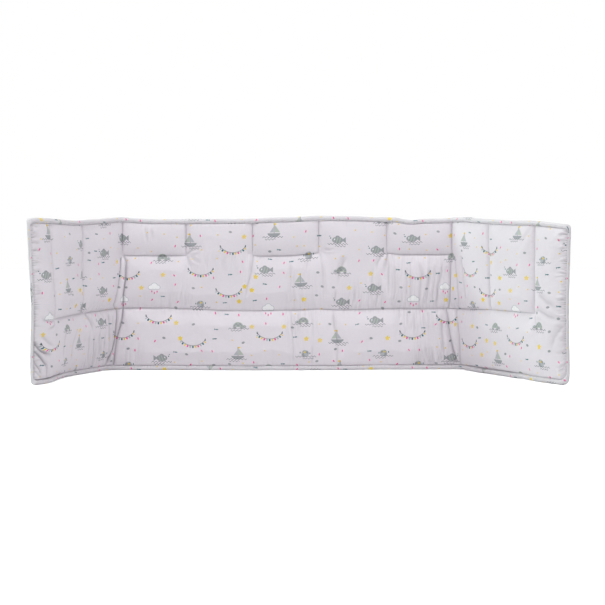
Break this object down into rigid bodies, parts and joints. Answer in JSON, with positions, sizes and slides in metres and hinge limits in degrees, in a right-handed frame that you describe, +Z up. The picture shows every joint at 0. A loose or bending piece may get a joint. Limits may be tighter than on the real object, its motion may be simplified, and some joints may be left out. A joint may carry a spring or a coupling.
{
  "type": "crib bumper",
  "caption": "Quilted cotton crib bumper standing in a U, with puffed pockets, creased corners and a fat rolled edge strip.",
  "frame": {"origin": "on the floor under the middle of the back panel's lower edge", "axes": "+X along the back panel, -Y the way the two wings come forward and the inside faces, +Z up"},
  "size_m": [1.8063, 0.567, 0.563],
  "materials": {
    "panel_cotton": "matt plain-weave cotton with a small nursery print",
    "strip_cotton": "matt plain-weave cotton with a small nursery print"
  },
  "bodies": {
    "root": {"pad": "panel_cotton", "boxing": "strip_cotton"}
  },
  "joints": []
}
